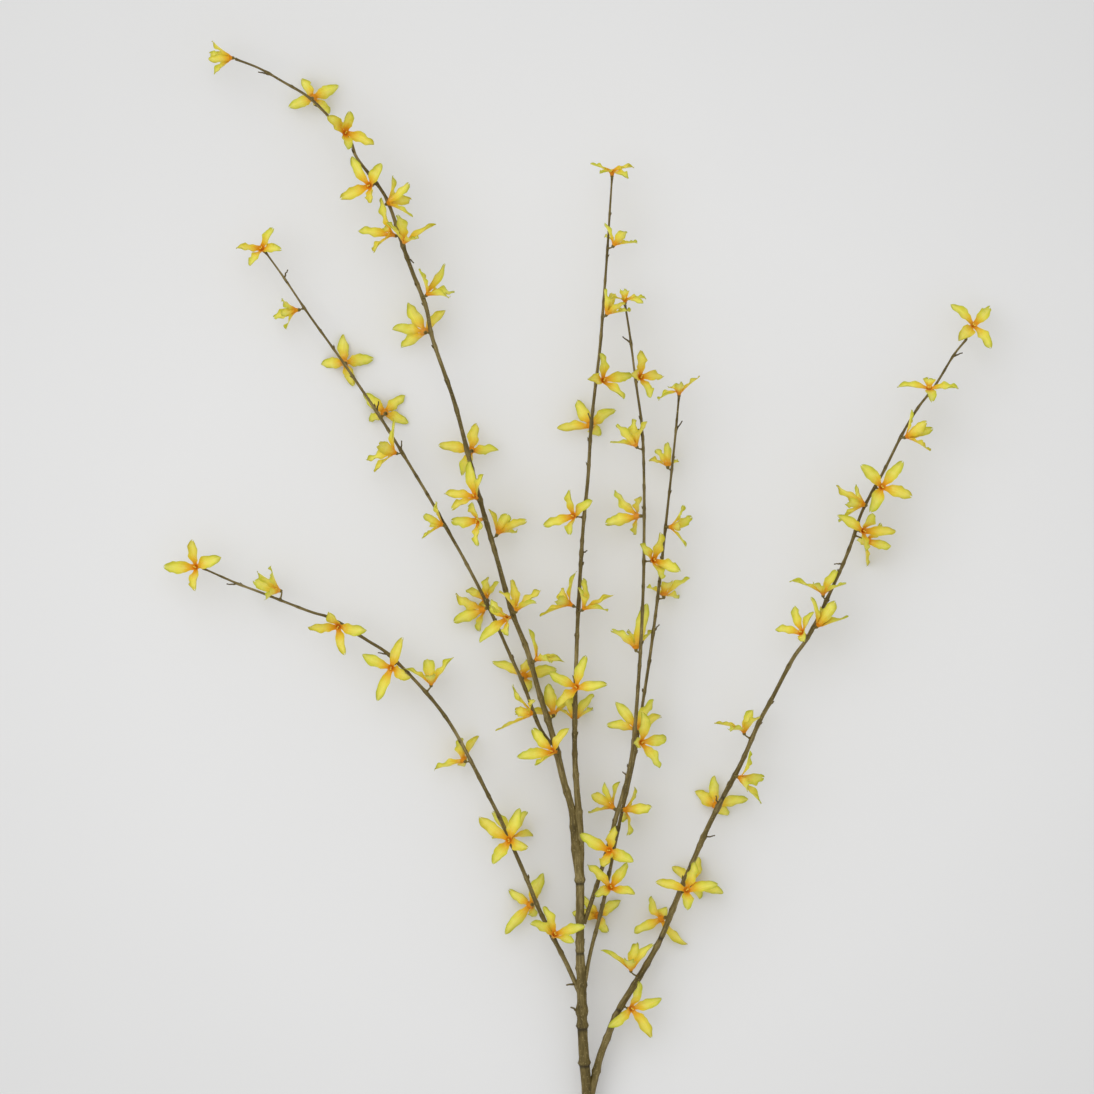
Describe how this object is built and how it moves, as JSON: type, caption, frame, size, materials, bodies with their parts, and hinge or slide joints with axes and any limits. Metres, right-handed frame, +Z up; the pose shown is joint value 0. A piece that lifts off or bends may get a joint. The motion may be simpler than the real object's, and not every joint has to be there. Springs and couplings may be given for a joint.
{
  "type": "forsythia branch",
  "caption": "Cut forsythia branch lying down: slender brown stems fork from one trunk and carry small star-shaped yellow blooms along their length.",
  "frame": {"origin": "on the surface it lies on, under the middle of the branch's bounding box", "axes": "+X across the branch, +Y from the cut end to the tips, +Z up from the surface it lies on"},
  "size_m": [0.6631, 0.9275, 0.0734],
  "materials": {
    "bark": "olive-brown to grey-brown bark, matt, with raised pores and ring-like joints",
    "petal": "soft satin petals, yellow with yellow-green tips and an orange throat"
  },
  "bodies": {
    "root": {"wood": "bark", "bloom_low_left_1": "petal", "bloom_low_left_2": "petal", "bloom_low_left_3": "petal", "bloom_low_left_4": "petal", "bloom_low_left_5": "petal", "bloom_low_left_6": "petal", "bloom_low_left_7": "petal", "bloom_low_left_8": "petal", "bloom_left_1": "petal", "bloom_left_2": "petal", "bloom_left_3": "petal", "bloom_left_4": "petal", "bloom_left_5": "petal", "bloom_left_6": "petal", "bloom_left_7": "petal", "bloom_tall_left_1": "petal", "bloom_tall_left_2": "petal", "bloom_tall_left_3": "petal", "bloom_tall_left_4": "petal", "bloom_tall_left_5": "petal", "bloom_tall_left_6": "petal", "bloom_tall_left_7": "petal", "bloom_tall_left_8": "petal", "bloom_tall_left_9": "petal", "bloom_tall_left_10": "petal", "bloom_tall_left_11": "petal", "bloom_tall_left_12": "petal", "bloom_middle_1": "petal", "bloom_middle_2": "petal", "bloom_middle_3": "petal", "bloom_middle_4": "petal", "bloom_middle_5": "petal", "bloom_middle_6": "petal", "bloom_middle_7": "petal", "bloom_middle_8": "petal", "bloom_front_1": "petal", "bloom_front_2": "petal", "bloom_front_3": "petal", "bloom_front_4": "petal", "bloom_front_5": "petal", "bloom_front_6": "petal", "bloom_front_7": "petal", "bloom_front_8": "petal", "bloom_front_9": "petal", "bloom_inner_right_1": "petal", "bloom_inner_right_2": "petal", "bloom_inner_right_3": "petal", "bloom_inner_right_4": "petal", "bloom_inner_right_5": "petal", "bloom_right_1": "petal", "bloom_right_2": "petal", "bloom_right_3": "petal", "bloom_right_4": "petal", "bloom_right_5": "petal", "bloom_right_6": "petal", "bloom_right_7": "petal", "bloom_right_8": "petal", "bloom_right_9": "petal", "bloom_right_10": "petal"}
  },
  "joints": []
}
